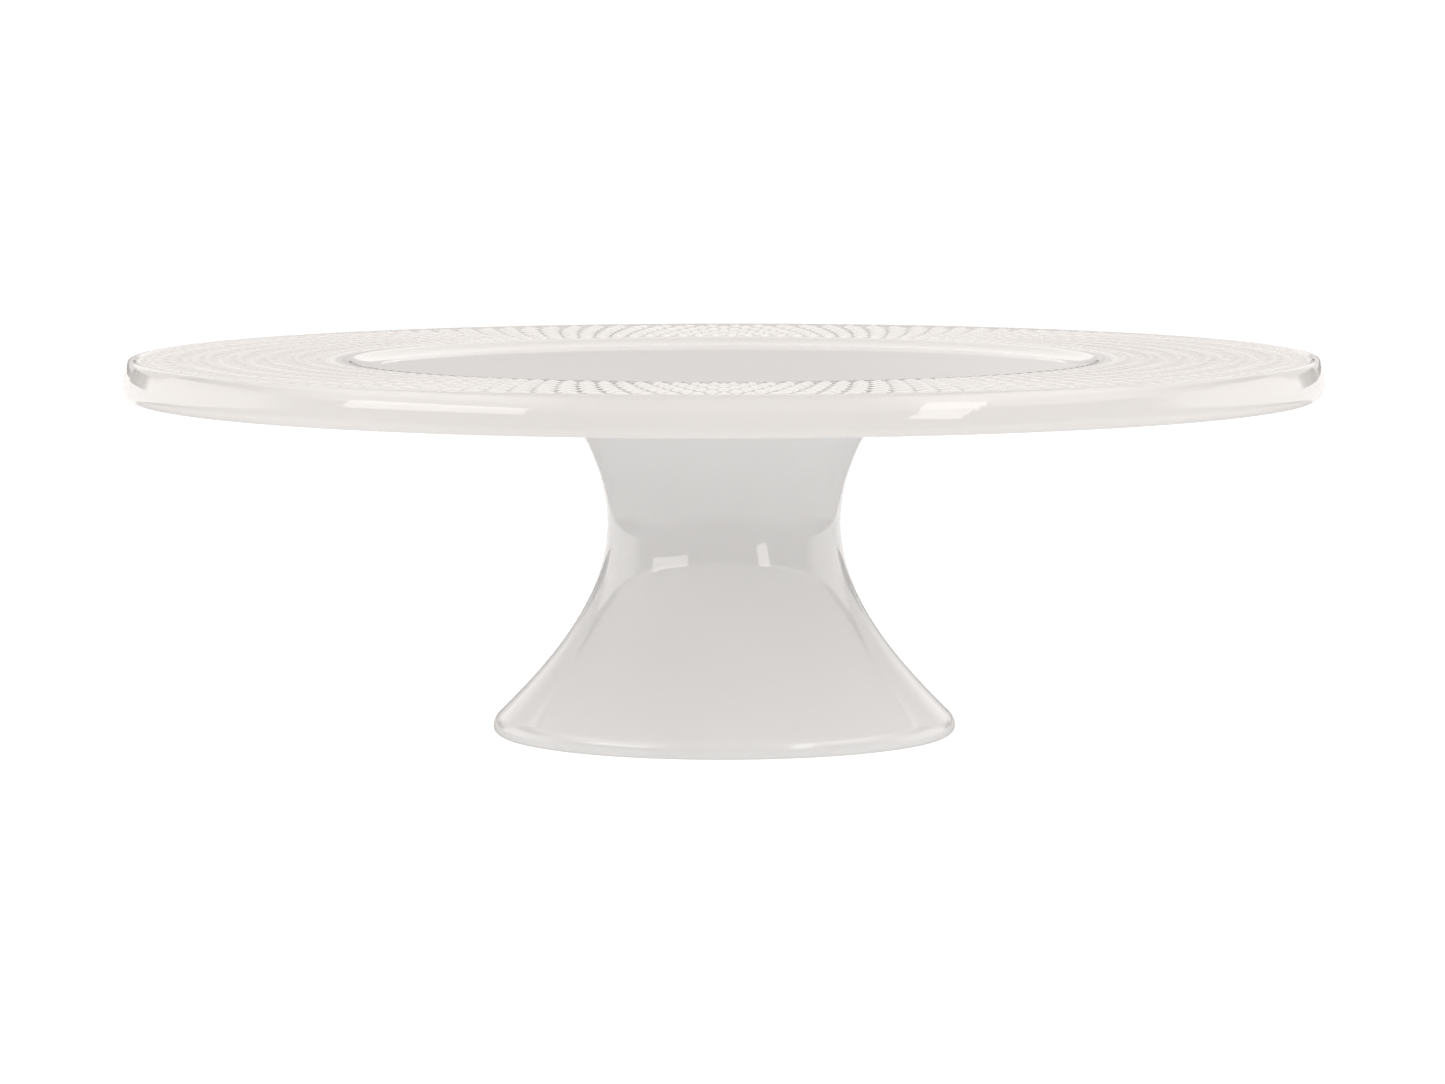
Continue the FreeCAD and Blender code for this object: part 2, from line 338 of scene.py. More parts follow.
def ring_instances(tree, sizes, tile):
    """The tile on every ring, smaller from ring to ring, with every other ring half a diamond round."""
    all_rings = tree.math("ADD", sizes["Rings"], 1.0)
    count = tree.math("MULTIPLY", all_rings, sizes["Diamonds per ring"])
    points = tree.add("GeometryNodePoints", {"Count": count})
    index = tree.add("GeometryNodeInputIndex").outputs[0]
    ring = tree.math("FLOORED_MODULO", index, all_rings)
    step = tree.math("FLOOR", tree.math("DIVIDE", tree.math("ADD", index, 0.5), all_rings))
    even = tree.math("SUBTRACT", 1.0, tree.math("FLOORED_MODULO", ring, 2.0))
    diamonds_round = tree.math("ADD", step, tree.math("MULTIPLY", even, 0.5))
    turn = tree.math("MULTIPLY", diamonds_round, sizes["angle step"])
    shrink = tree.math("POWER", sizes["ring ratio"], ring)
    rotation = tree.add(
        "FunctionNodeEulerToRotation", {0: tree.add("ShaderNodeCombineXYZ", {"Z": turn}).outputs[0]}
    )
    scale = tree.add("ShaderNodeCombineXYZ", {"X": shrink, "Y": shrink, "Z": 1.0})
    return tree.add(
        "GeometryNodeInstanceOnPoints",
        {
            "Points": points.outputs[0],
            "Instance": tile,
            "Rotation": rotation.outputs[0],
            "Scale": scale.outputs[0],
        },
    ).outputs["Instances"]


def trimmed_band(tree, sizes, geometry):
    """Cuts the diamonds at the lip and the well, sinks them there, and lifts the band to its height."""
    position = tree.add("GeometryNodeInputPosition").outputs[0]
    place = tree.add("ShaderNodeSeparateXYZ", {0: position})
    radius = tree.math(
        "SQRT",
        tree.math(
            "ADD",
            tree.math("MULTIPLY", place.outputs["X"], place.outputs["X"]),
            tree.math("MULTIPLY", place.outputs["Y"], place.outputs["Y"]),
        ),
    )
    outside = tree.math("GREATER_THAN", radius, sizes["Outer radius"])
    inside = tree.math("LESS_THAN", radius, sizes["Inner radius"])
    kept = tree.add(
        "GeometryNodeDeleteGeometry",
        {"Geometry": geometry, "Selection": tree.math("MAXIMUM", outside, inside)},
        domain="FACE",
    )
    from_lip = tree.math("SUBTRACT", sizes["Outer radius"], radius)
    from_well = tree.math("SUBTRACT", radius, sizes["Inner radius"])
    fades = [
        tree.ranged(from_lip, (0.0, sizes["Outer fade"]), curve="SMOOTHSTEP"),
        tree.ranged(from_well, (0.0, sizes["Inner fade"]), curve="SMOOTHSTEP"),
    ]
    faded = tree.math("MULTIPLY", *fades)
    raised = tree.math("MULTIPLY", place.outputs["Z"], faded)
    # How deep each point lies in the grooves: it drives the pooled glaze and the painted shade there.
    pooling_and_shade = tree.math("SUBTRACT", faded, tree.math("DIVIDE", raised, sizes["Diamond height"]))
    stored = tree.add(
        "GeometryNodeStoreNamedAttribute",
        {"Geometry": kept.outputs["Geometry"], "Name": "pooling_and_shade", "Value": pooling_and_shade},
        data_type="FLOAT",
        domain="POINT",
    )
    ground = sizes["Groove height"]
    for fade, edge in zip(fades, ("Lip edge height", "Well edge height")):
        rise = tree.math("SUBTRACT", sizes[edge], sizes["Groove height"])
        unfaded = tree.math("SUBTRACT", 1.0, fade)
        ground = tree.math("ADD", ground, tree.math("MULTIPLY", unfaded, rise))
    lifted = tree.add(
        "ShaderNodeCombineXYZ",
        {"X": place.outputs["X"], "Y": place.outputs["Y"], "Z": tree.math("ADD", raised, ground)},
    )
    return tree.add(
        "GeometryNodeSetPosition",
        {"Geometry": stored.outputs["Geometry"], "Position": lifted.outputs["Vector"]},
    ).outputs["Geometry"]


RELIEF_INPUTS = {
    "Diamonds per ring": ("NodeSocketInt", DIAMONDS_PER_RING),
    "Rings": ("NodeSocketInt", RELIEF_RINGS),
    "Points per side": ("NodeSocketInt", FACETS_PER_SIDE + 1),
    "Outer radius": ("NodeSocketFloat", RELIEF_OUTER_RADIUS),
    "Inner radius": ("NodeSocketFloat", RELIEF_INNER_RADIUS),
    "Groove height": ("NodeSocketFloat", GROOVE_HEIGHT),
    "Well edge height": ("NodeSocketFloat", WELL_EDGE_HEIGHT),
    "Lip edge height": ("NodeSocketFloat", LIP_EDGE_HEIGHT),
    "Diamond height": ("NodeSocketFloat", DIAMOND_HEIGHT),
    "Fullness": ("NodeSocketFloat", DIAMOND_FULLNESS),
    "Outer fade": ("NodeSocketFloat", OUTER_FADE),
    "Inner fade": ("NodeSocketFloat", INNER_FADE),
}


def embossed_rim_tree():
    """Adds the embossed band to the turned plate that comes in."""
    group = bpy.data.node_groups.new("embossed_rim", "GeometryNodeTree")
    group.interface.new_socket("Geometry", in_out="INPUT", socket_type="NodeSocketGeometry")
    for name, (kind, value) in RELIEF_INPUTS.items():
        group.interface.new_socket(name, in_out="INPUT", socket_type=kind).default_value = value
    group.interface.new_socket("Glaze", in_out="INPUT", socket_type="NodeSocketMaterial")
    group.interface.new_socket("Geometry", in_out="OUTPUT", socket_type="NodeSocketGeometry")
    tree = Tree(group)
    given = tree.add("NodeGroupInput").outputs
    sizes = {name: given[name] for name in RELIEF_INPUTS}
    sizes["angle step"] = tree.math("DIVIDE", 2 * math.pi, sizes["Diamonds per ring"])
    whole_ratio = tree.math("DIVIDE", sizes["Inner radius"], sizes["Outer radius"])
    sizes["ring ratio"] = tree.math("POWER", whole_ratio, tree.math("DIVIDE", 1.0, sizes["Rings"]))
    tiles = ring_instances(tree, sizes, diamond_tile(tree, sizes))
    realized = tree.add("GeometryNodeRealizeInstances", {"Geometry": tiles})
    band = trimmed_band(tree, sizes, realized.outputs["Geometry"])
    joined = tree.add("GeometryNodeJoinGeometry")
    for source in (band, given["Geometry"]):
        group.links.new(source, joined.inputs[0])
    glazed = tree.add(
        "GeometryNodeSetMaterial", {"Geometry": joined.outputs[0], "Material": given["Glaze"]}
    )
    tree.add("NodeGroupOutput", {0: glazed.outputs[0]})
    return group


# ---------------------------------------------------------------- materials

# Each pair of tones is a darker and a lighter one. Patches, runs and grains are noise scales, per metre.
RIM_TONES = [(0.792, 0.772, 0.752, 1), (0.815, 0.796, 0.779, 1)]
PEDESTAL_TONES = [(0.797, 0.795, 0.790, 1), (0.822, 0.820, 0.816, 1)]
TONE_PATCHES = 14.0
TONE_STOPS = (0.3, 0.7)
# A warm, dark colour for the grooves: glaze that pools there, deepened into painted shade.
POOLED_GLAZE_AND_SHADE = (0.55, 0.51, 0.47, 1)
POOLING_AND_SHADE_TINT = 0.6
GLOSS_PATCHES = 60.0
GLAZE_ROUGHNESS = (0.004, 0.02)
RIM_RUN_DEPTH = 0.00018
PEDESTAL_RUN_DEPTH = 0.00005
GLAZE_RUNS = 75.0
RUN_STRETCH = 0.35
RUN_DETAIL = 3.0
# A face's normal is level on an upright wall. Runs fade out between these two slopes of the normal.
RUN_FADE = (0.35, 0.75)
RUN_STRENGTH = (1.0, 0.06)
GLAZE_IOR = 1.6
TRANSLUCENCY = 0.12
TRANSLUCENT_COLOUR = (1.0, 0.85, 0.7)
TRANSLUCENT_DEPTH = 0.0012
BARE_TONES = [(0.62, 0.58, 0.52, 1), (0.80, 0.77, 0.71, 1)]
BARE_GRAINS = 900.0
BARE_GRAIN_DETAIL = 4.0
BARE_GRAIN_DEPTH = 0.00003
BARE_ROUGHNESS = 0.75


def new_material(name):
    material = bpy.data.materials.new(name)
    material.use_nodes = True
    tree = Tree(material.node_tree)
    shader = material.node_tree.nodes["Principled BSDF"]
    return material, tree, shader


def soft_noise(tree, coordinates, scale, detail=2.0):
    noise = tree.add("ShaderNodeTexNoise", {"Vector": coordinates, "Scale": scale, "Detail": detail})
    return noise.outputs["Fac"]


def glazed_porcelain(name, tones, run_depth, pooled_and_shaded):
    """White porcelain under a clear gloss glaze, with slight runs on upright walls.

    Where asked, the grooves are painted warmer and darker: partly glaze that pools there, partly painted
    shade in the grooves.
    """
    material, tree, shader = new_material(name)
    place = tree.add("ShaderNodeTexCoord")
    coordinates = place.outputs["Object"]
    body = tree.add("ShaderNodeValToRGB", {"Fac": soft_noise(tree, coordinates, TONE_PATCHES)})
    for element, position, tone in zip(body.color_ramp.elements, TONE_STOPS, tones):
        element.position = position
        element.color = tone
    colour = body.outputs["Color"]
    # Painted shade in the grooves, on top of the glaze that pools there: the grooves are mixed towards a
    # darker, warmer colour.
    if pooled_and_shaded:
        pooling_and_shade = tree.add("ShaderNodeAttribute", attribute_name="pooling_and_shade").outputs["Fac"]
        depth = tree.math("MULTIPLY", pooling_and_shade, POOLING_AND_SHADE_TINT)
        mixed = tree.add("ShaderNodeMix", {"Factor": depth, 6: colour, 7: POOLED_GLAZE_AND_SHADE}, data_type="RGBA")
        colour = mixed.outputs[2]
    tree.feed(shader.inputs["Base Color"], colour)
    gloss_noise = soft_noise(tree, coordinates, GLOSS_PATCHES)
    tree.feed(shader.inputs["Roughness"], tree.ranged(gloss_noise, (0.0, 1.0), GLAZE_ROUGHNESS))
    normal_parts = tree.add("ShaderNodeSeparateXYZ", {0: place.outputs["Normal"]})
    slope = tree.math("ABSOLUTE", normal_parts.outputs["Z"])
    strength = tree.ranged(slope, RUN_FADE, RUN_STRENGTH)
    stretched = tree.add("ShaderNodeMapping", {"Vector": coordinates, "Scale": (1.0, 1.0, RUN_STRETCH)})
    runs = soft_noise(tree, stretched.outputs["Vector"], GLAZE_RUNS, RUN_DETAIL)
    bump = tree.add("ShaderNodeBump", {"Height": runs, "Distance": run_depth, "Strength": strength})
    tree.feed(shader.inputs["Normal"], bump.outputs["Normal"])
    shader.inputs["IOR"].default_value = GLAZE_IOR
    shader.inputs["Subsurface Weight"].default_value = TRANSLUCENCY
    shader.inputs["Subsurface Radius"].default_value = TRANSLUCENT_COLOUR
    shader.inputs["Subsurface Scale"].default_value = TRANSLUCENT_DEPTH
    return material


def bare_porcelain():
    """Unglazed, ground foot ring: matt, a little creamier, with a fine grain."""
    material, tree, shader = new_material("bare_porcelain")
    coordinates = tree.add("ShaderNodeTexCoord").outputs["Object"]
    grain = soft_noise(tree, coordinates, BARE_GRAINS, BARE_GRAIN_DETAIL)
    body = tree.add("ShaderNodeValToRGB", {"Fac": grain})
    for element, tone in zip(body.color_ramp.elements, BARE_TONES):
        element.color = tone
    tree.feed(shader.inputs["Base Color"], body.outputs["Color"])
    bump = tree.add("ShaderNodeBump", {"Height": grain, "Distance": BARE_GRAIN_DEPTH, "Strength": 1.0})
    tree.feed(shader.inputs["Normal"], bump.outputs["Normal"])
    shader.inputs["Roughness"].default_value = BARE_ROUGHNESS
    return material


# ---------------------------------------------------------------- the pieces


def skirt_outline():
    """From the embossed band over the lip, down the skirt, and under it to the rim's underside."""
    inside_radius = PLATE_RADIUS - SKIRT_THICKNESS
    bottom_radius = PLATE_RADIUS - SKIRT_OUTER_ROUND
    inner_round = bottom_radius - inside_radius
    lip_inner = (LIP_FOOT_RADIUS, STAND_TOP - LIP_SHOULDER_DROP)
    lip_outer = (LIP_OUTER_RADIUS, STAND_TOP - LIP_SHOULDER_DROP)
    bulge = (SKIRT_BULGE_RADIUS, STAND_TOP - SKIRT_BULGE_DROP)
    skirt_low = (PLATE_RADIUS, SKIRT_EDGE + SKIRT_OUTER_ROUND_HEIGHT)
    bottom = (bottom_radius, SKIRT_EDGE)
    inside_low = (inside_radius, SKIRT_EDGE + inner_round)
    inside_high = (inside_radius, RIM_UNDERSIDE - SKIRT_FILLET)
    underside = (inside_radius - SKIRT_FILLET, RIM_UNDERSIDE)
    points = [(RELIEF_OUTER_RADIUS, LIP_EDGE_HEIGHT), lip_inner]
    points += arc_points(lip_inner, (LIP_CREST_RADIUS, STAND_TOP), lip_outer, LIP_STEPS)
    points += arc_points(lip_outer, bulge, skirt_low, SKIRT_STEPS)
    points += bevel_points(skirt_low, (PLATE_RADIUS, SKIRT_EDGE), bottom, SKIRT_OUTER_ROUND_STEPS)
    points += bevel_points(bottom, (inside_radius, SKIRT_EDGE), inside_low, SKIRT_INNER_ROUND_STEPS)
    points.append(inside_high)
    points += bevel_points(inside_high, (inside_radius, RIM_UNDERSIDE), underside, SKIRT_INNER_ROUND_STEPS)
    return points


def underside_outline():
    """From the rim's underside over the step under the well and the spigot to the axis."""
    step_outer = (STEP_OUTER_RADIUS, RIM_UNDERSIDE)
    step_inner = (STEP_INNER_RADIUS, WELL_UNDERSIDE)
    middle = ((step_outer[0] + step_inner[0]) / 2, (step_outer[1] + step_inner[1]) / 2)
    points = [step_outer] + level_arc_points(step_outer, middle, STEP_ARC_STEPS)
    points += level_arc_points(step_inner, middle, STEP_ARC_STEPS)[-2::-1] + [step_inner]
    points += [(SPIGOT_RADIUS, WELL_UNDERSIDE), (SPIGOT_RADIUS, SPIGOT_BOTTOM), (0, SPIGOT_BOTTOM)]
    return points


def well_outline():
    """From the embossed band over the well's soft edge and down its cove to the flat floor."""
    edge_outer = (RELIEF_INNER_RADIUS, WELL_EDGE_HEIGHT)
    floor_edge = (WELL_FLOOR_RADIUS, WELL_FLOOR)
    cove_top = (RELIEF_INNER_RADIUS - WELL_EDGE_ROUND, WELL_EDGE_HEIGHT - WELL_EDGE_DROP)
    cove = [floor_edge] + level_arc_points(floor_edge, cove_top, WELL_COVE_STEPS)
    return [edge_outer] + cove[::-1] + [(radius, WELL_FLOOR) for radius in WELL_FLOOR_RINGS]


def evaluated_mesh(carrier, name):
    """A plain mesh of what a modifier makes of an object. The object itself is then removed."""
    depsgraph = bpy.context.evaluated_depsgraph_get()
    mesh = bpy.data.meshes.new_from_object(carrier.evaluated_get(depsgraph))
    mesh.name = name
    bpy.data.objects.remove(carrier)
    return mesh


def make_plate(glaze):
    outlines = [skirt_outline() + underside_outline(), well_outline()]
    carrier = add_piece("turned_plate", turned_mesh("turned_plate", outlines, PLATE_SEGMENTS))
    group = embossed_rim_tree()
    modifier = carrier.modifiers.new("embossed_rim", "NODES")
    modifier.node_group = group
    for item in group.interface.items_tree:
        if item.item_type == "SOCKET" and item.in_out == "INPUT":
            if item.name in RELIEF_INPUTS:
                modifier[item.identifier] = RELIEF_INPUTS[item.name][1]
            if item.name == "Glaze":
                modifier[item.identifier] = glaze
    mesh = evaluated_mesh(carrier, "plate_porcelain")
    close_and_face_outwards(mesh, PLATE_WELD)
    return add_piece("plate_porcelain", mesh)


def foot_outline():
    """The foot ring's flat, its low lower round and its upper round, up to the outer wall."""
    ring_outer = (FOOT_RING_OUTER_RADIUS, 0)
    widest = (FOOT_RADIUS, FOOT_LOWER_ROUND_HEIGHT)
    points = [(FOOT_INNER_RADIUS + FOOT_INNER_ROUND, 0), ring_outer]
    points += bevel_points(ring_outer, (FOOT_RADIUS, 0), widest, FOOT_LOWER_STEPS)
    for step in range(1, FOOT_UPPER_STEPS + 1):
        turn = FOOT_UPPER_TURN * step / FOOT_UPPER_STEPS
        inward = FOOT_UPPER_ROUND * (1 - math.cos(turn))
        upward = FOOT_UPPER_ROUND * math.sin(turn)
        points.append((FOOT_RADIUS - inward, FOOT_LOWER_ROUND_HEIGHT + upward))
    return points


def inner_wall_stations(outer_wall):
    """The waist's stations moved in by the wall, square to the outer wall."""
    stations = []
    for radius, height in WAIST_STATIONS:
        near = min(range(len(outer_wall) - 1), key=lambda index: abs(outer_wall[index][1] - height))
        below, above = Vector(outer_wall[near - 1]), Vector(outer_wall[near + 1])
        tangent = (above - below).normalized()
        stations.append((radius - tangent.y * PEDESTAL_WALL, height + tangent.x * PEDESTAL_WALL))
    return stations


def pedestal_outline():
    """Up the outer wall from the foot ring, round the mouth, and down the inner wall to the ring."""
    foot = foot_outline()
    flare_start = (TOP_RADIUS - FLARE_SLOPE * TOP_STRAIGHT, PEDESTAL_TOP - TOP_STRAIGHT)
    outer_wall = smooth_curve(
        [foot[-1]] + WAIST_STATIONS + [flare_start],
        -math.tan(FOOT_UPPER_TURN),
        FLARE_SLOPE,
        OUTER_WALL_STEPS,
    )
    inner_stations = inner_wall_stations(outer_wall)
    inner_wall = smooth_curve(
        [(FOOT_INNER_RADIUS, FOOT_INNER_HEIGHT)] + inner_stations + [(LEDGE_RADIUS, SLIP_BOTTOM)],
        0,
        FLARE_SLOPE,
        INNER_WALL_STEPS,
    )
    foot_inner_high = (FOOT_INNER_RADIUS, FOOT_INNER_ROUND)
    ring_inner = (FOOT_INNER_RADIUS + FOOT_INNER_ROUND, 0)
    foot_round = bevel_points(foot_inner_high, (FOOT_INNER_RADIUS, 0), ring_inner, FOOT_INNER_STEPS)
    mouth = [
        (TOP_RADIUS, PEDESTAL_TOP),
        (MOUTH_RADIUS, PEDESTAL_TOP),
        (MOUTH_RADIUS, SLIP_BOTTOM),
    ]
    return foot + outer_wall[1:] + mouth + inner_wall[::-1] + [foot_inner_high] + foot_round[:-1]


def make_pedestal(glaze, bare):
    mesh = turned_mesh("pedestal_porcelain", [pedestal_outline()], PEDESTAL_SEGMENTS, closed=True)
    close_and_face_outwards(mesh, PEDESTAL_WELD)
    mesh.materials.append(glaze)
    mesh.materials.append(bare)
    for polygon in mesh.polygons:
        if polygon.center.z < BARE_RING_HEIGHT:
            polygon.material_index = 1
    return add_piece("pedestal_porcelain", mesh)


def make_luting_slip(glaze):
    """The smoothed seam of slip between plate and pedestal: a fillet outside and a bead inside."""
    fillet_low = (TOP_RADIUS - FLARE_SLOPE * TOP_STRAIGHT, PEDESTAL_TOP - TOP_STRAIGHT)
    fillet_reach = FILLET_SHARE * (SLIP_RADIUS - TOP_RADIUS)
    fillet_middle = (TOP_RADIUS + fillet_reach, PEDESTAL_TOP - FILLET_DROP)
    fillet_high = (SLIP_RADIUS, WELL_UNDERSIDE)
    bead_high = (BEAD_TOP_RADIUS, SPIGOT_BOTTOM)
    bead_middle = (BEAD_MIDDLE_RADIUS, (SPIGOT_BOTTOM + SLIP_BOTTOM) / 2)
    ledge = (LEDGE_RADIUS, SLIP_BOTTOM)
    outline = [
        ledge,
        (MOUTH_RADIUS, SLIP_BOTTOM),
        (MOUTH_RADIUS, PEDESTAL_TOP),
        (TOP_RADIUS, PEDESTAL_TOP),
        fillet_low,
    ]
    outline += arc_points(fillet_low, fillet_middle, fillet_high, FILLET_STEPS)
    outline += [(SPIGOT_RADIUS, WELL_UNDERSIDE), (SPIGOT_RADIUS, SPIGOT_BOTTOM), bead_high]
    outline += arc_points(bead_high, bead_middle, ledge, BEAD_STEPS)[:-1]
    mesh = turned_mesh("slip_seam", [outline], PEDESTAL_SEGMENTS, closed=True)
    close_and_face_outwards(mesh, PEDESTAL_WELD)
    mesh.materials.append(glaze)
    return add_piece("slip_seam", mesh)


# ---------------------------------------------------------------- floor, light and camera

CAMERA_DISTANCE = 1.575
CAMERA_HEIGHT = 0.18955
CAMERA_PITCH = math.radians(5.129)
CAMERA_YAW = math.radians(0.009)
CAMERA_ROLL = math.radians(0.06)
CAMERA_LENS = 157.0
SENSOR_WIDTH = 36.0
FARTHEST_SEEN = 100.0

# Floor, table top and cards. Areas are left, right, near and far side.
WHOLE_FLOOR = (-200, 200, -200, 200)
FLAG_AREAS = [(-40, 40, -40, -0.22), (-40, -0.36, -0.22, 0.35), (0.36, 40, -0.22, 0.35)]
CARD_AREAS = [(-0.36, 0.36, -0.22, 0.35)]
FLOOR_LEVEL = -0.0002
FLAG_LEVEL = 0.0003
FLOOR_GLOW = 1.15
TABLE_TONE = 0.62
TABLE_GLOW = 0.50
FLAG_TONE = 0.12
CARD_TONE = 0.6
SHEET_ROUGHNESS = 0.9

# Room light, low down
FRONT_LIGHT = 0.12
SIDE_LIGHT = 1.2
GAP_LIGHT = 0.12
HORIZON_LIGHT = 0.10
BACKDROP_LEFT = 0.70
BACKDROP_RIGHT = 0.80

# Room light, high up
FRONT_PANEL = 0.68
LEFT_PANEL = 1.2
RIGHT_PANEL = 1.5
SIDE_TOP = 1.1
BACK_PANEL = 1.2
ZENITH = 0.40

# Where one zone of the room changes into the next. Away runs from -1 at the camera's side to 1 behind the
# stand, across from -1 at the left to 1 at the right, aside from 0 to 1, and up from 0 to 1 overhead.
AWAY_FRONT_TO_SIDE = (-0.1, 0.2)
AWAY_FRONT_TO_GAP = (-0.25, 0.45)
AWAY_GAP_TO_BACK_PANEL = (0.70, 0.74)
AWAY_SIDE_TO_GAP = (0.78, 0.82)
AWAY_BACK_PANEL = (0.84, 0.96)
AWAY_HORIZON = (0.90, 0.96)
AWAY_GAP_TO_BACKDROP = (0.91, 0.935)
ACROSS_BACKDROP = (0.01, 0.06)
ACROSS_PANELS = (-0.5, 0.5)
ASIDE_FRONT_TO_SIDE = (0.3, 0.85)
ASIDE_SIDE_TOP = (0.4, 0.8)
UP_HORIZON = (0.02, 0.052)
UP_SIDE_TOP = (0.42, 0.55)
UP_ZENITH = (0.72, 0.86)
FRONT_PANEL_EDGE = 0.28
BACK_PANEL_EDGE = 0.11
PANEL_EDGE_WIDTH = 0.04
# Keeps the level part of a direction above nought straight overhead.
NEARLY_OVERHEAD = 0.0001

# Lamps: place, width and height, radiance and roll in degrees
LAMP_COLOUR = (1.0, 0.972, 0.952, 1)
LAMP_AIM = (0, 0, 0.06)
SOFTBOXES = {
    "softbox_right": ((0.566, -0.70, 0.30), (0.17, 0.40), 2.9, -14),
    "softbox_left": ((-0.719, -0.542, 0.31), (0.60, 0.16), 2.5, 0),
}


def level_mesh(name, areas, height):
    """Level rectangles, each given as left, right, near and far side."""
    mesh = bpy.data.meshes.new(name)
    corners = []
    faces = []
    for left, right, near, far in areas:
        first = len(corners)
        corners += [(x, y, height) for x, y in ((left, near), (right, near), (right, far), (left, far))]
        faces.append(tuple(range(first, first + 4)))
    mesh.from_pydata(corners, [], faces)
    return mesh


def studio_sheet(name, mesh, tone, glow):
    """A studio sheet in one matt or glowing tone."""
    material, _, shader = new_material(name)
    shader.inputs["Base Color"].default_value = (tone, tone, tone, 1)
    shader.inputs["Roughness"].default_value = SHEET_ROUGHNESS
    shader.inputs["Specular IOR Level"].default_value = 0.0
    shader.inputs["Emission Color"].default_value = (1.0, 1.0, 1.0, 1)
    shader.inputs["Emission Strength"].default_value = glow
    mesh.materials.append(material)
    sheet = add_piece(name, mesh)
    return sheet


def add_floor():
    """The white floor that is seen, and the table top and cards that only light and reflect."""
    floor = studio_sheet("floor", level_mesh("floor", [WHOLE_FLOOR], FLOOR_LEVEL), 0.0, FLOOR_GLOW)
    floor.visible_diffuse = False
    floor.visible_glossy = False
    floor.visible_shadow = False
    table_mesh = level_mesh("table", [WHOLE_FLOOR], FLOOR_LEVEL)
    table = studio_sheet("table", table_mesh, TABLE_TONE, TABLE_GLOW)
    table.visible_camera = False
    cards = {"dark_flags": (FLAG_AREAS, FLAG_TONE), "grey_card": (CARD_AREAS, CARD_TONE)}
    for name, (areas, tone) in cards.items():
        card = studio_sheet(name, level_mesh(name, areas, FLAG_LEVEL), tone, 0.0)
        card.visible_camera = False
        card.visible_diffuse = False
        card.visible_shadow = False


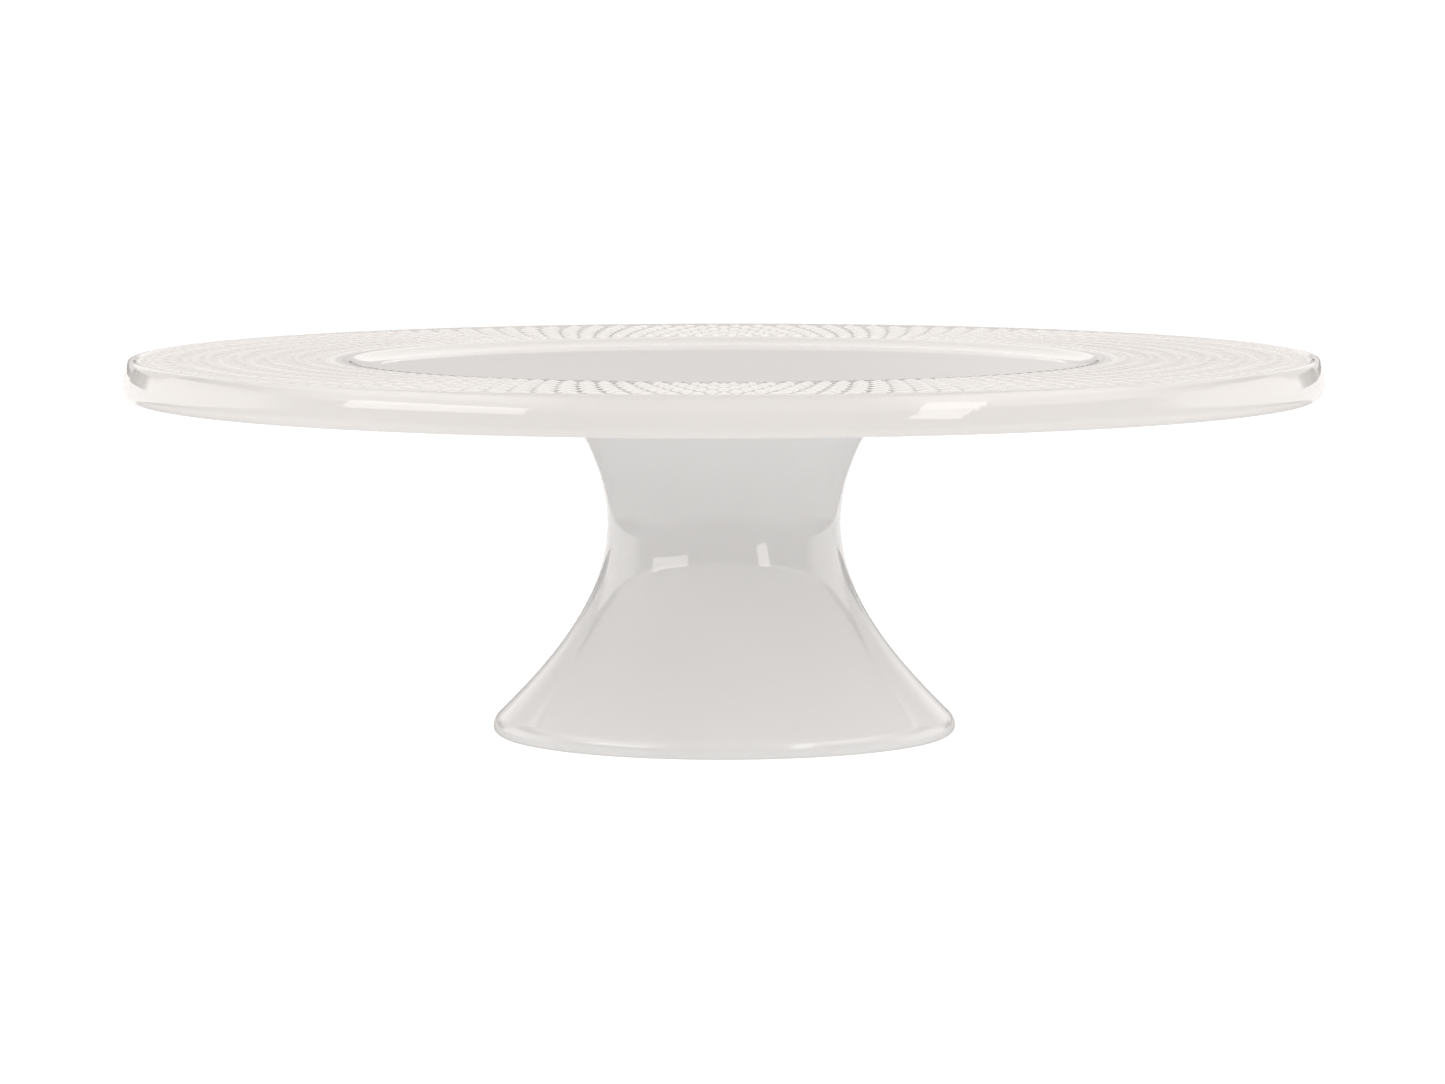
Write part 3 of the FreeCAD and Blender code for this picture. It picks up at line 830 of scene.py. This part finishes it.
def add_room():
    """The room's light: bright panels high up and low at the sides, with dim gaps between them."""
    world = bpy.data.worlds.new("studio")
    bpy.context.scene.world = world
    world.use_nodes = True
    tree = Tree(world.node_tree)
    direction = tree.add("ShaderNodeTexCoord").outputs["Generated"]
    parts = tree.add("ShaderNodeSeparateXYZ", {0: direction})

    def soft_step(value, span, low=0.0, high=1.0):
        return tree.ranged(value, span, (low, high), curve="SMOOTHSTEP")

    def blend(first, second, share):
        difference = tree.math("SUBTRACT", second, first)
        return tree.math("ADD", first, tree.math("MULTIPLY", share, difference))

    up = parts.outputs["Z"]
    level_squared = tree.math("SUBTRACT", 1.0, tree.math("MULTIPLY", up, up))
    level = tree.math("SQRT", tree.math("MAXIMUM", level_squared, NEARLY_OVERHEAD))
    away = tree.math("DIVIDE", parts.outputs["Y"], level)
    across = tree.math("DIVIDE", parts.outputs["X"], level)
    aside = tree.math("ABSOLUTE", across)

    backdrop = soft_step(parts.outputs["X"], ACROSS_BACKDROP, BACKDROP_LEFT, BACKDROP_RIGHT)
    horizon = blend(backdrop, HORIZON_LIGHT, soft_step(away, AWAY_HORIZON))
    back_low = blend(horizon, backdrop, soft_step(up, UP_HORIZON))
    side_low = blend(SIDE_LIGHT, GAP_LIGHT, soft_step(away, AWAY_SIDE_TO_GAP))
    front_low = blend(FRONT_LIGHT, side_low, soft_step(away, AWAY_FRONT_TO_SIDE))
    low = blend(front_low, back_low, soft_step(away, AWAY_GAP_TO_BACKDROP))

    side_panel = soft_step(across, ACROSS_PANELS, LEFT_PANEL, RIGHT_PANEL)
    front_panel = blend(FRONT_PANEL, side_panel, soft_step(aside, ASIDE_FRONT_TO_SIDE))
    front_high = blend(front_panel, GAP_LIGHT, soft_step(away, AWAY_FRONT_TO_GAP))
    back_panel = soft_step(away, AWAY_BACK_PANEL, BACKDROP_LEFT, BACK_PANEL)
    behind = soft_step(away, AWAY_GAP_TO_BACK_PANEL)
    side_top = soft_step(aside, ASIDE_SIDE_TOP, 0.0, SIDE_TOP)
    side_top = tree.math("MULTIPLY", side_top, soft_step(up, UP_SIDE_TOP))
    panels = tree.math("ADD", blend(front_high, back_panel, behind), side_top)
    high = blend(panels, ZENITH, soft_step(up, UP_ZENITH))

    edge = blend(FRONT_PANEL_EDGE, BACK_PANEL_EDGE, behind)
    edge_end = tree.math("ADD", edge, PANEL_EDGE_WIDTH)
    total = blend(low, high, soft_step(up, (edge, edge_end)))
    background = world.node_tree.nodes["Background"]
    background.inputs["Color"].default_value = LAMP_COLOUR
    tree.feed(background.inputs["Strength"], total)


def add_softbox(name, place, size, radiance, roll):
    """A rectangular lamp, aimed at the stand and rolled about its own axis."""
    width, height = size
    lamp = bpy.data.lights.new(name, "AREA")
    lamp.shape = "RECTANGLE"
    lamp.size = width
    lamp.size_y = height
    lamp.energy = radiance * math.pi * width * height
    lamp.color = LAMP_COLOUR[:3]
    holder = bpy.data.objects.new(name, lamp)
    holder.location = place
    turn = (Vector(LAMP_AIM) - Vector(place)).to_track_quat("-Z", "Y")
    holder.rotation_euler = (turn @ Quaternion((0, 0, 1), math.radians(roll))).to_euler()
    bpy.context.scene.collection.objects.link(holder)


def add_camera():
    camera = bpy.data.cameras.new("camera")
    camera.lens = CAMERA_LENS
    camera.sensor_width = SENSOR_WIDTH
    camera.clip_end = FARTHEST_SEEN
    holder = bpy.data.objects.new("camera", camera)
    holder.location = (0, -CAMERA_DISTANCE, CAMERA_HEIGHT)
    holder.rotation_euler = (math.pi / 2 - CAMERA_PITCH, CAMERA_ROLL, CAMERA_YAW)
    bpy.context.scene.collection.objects.link(holder)
    bpy.context.scene.camera = holder


def main():
    glaze = glazed_porcelain("glazed_porcelain", PEDESTAL_TONES, PEDESTAL_RUN_DEPTH, pooled_and_shaded=False)
    rim_glaze = glazed_porcelain("glazed_porcelain_embossed", RIM_TONES, RIM_RUN_DEPTH, pooled_and_shaded=True)
    plate = make_plate(rim_glaze)
    pedestal = make_pedestal(glaze, bare_porcelain())
    slip = make_luting_slip(glaze)
    for piece, node in ((plate, "plate"), (pedestal, "pedestal"), (slip, "luting_slip")):
        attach(piece, "root")
        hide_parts(node)
    add_floor()
    add_room()
    for name, (place, size, radiance, roll) in SOFTBOXES.items():
        add_softbox(name, place, size, radiance, roll)
    add_camera()
    bpy.context.scene.view_settings.view_transform = "Standard"


main()
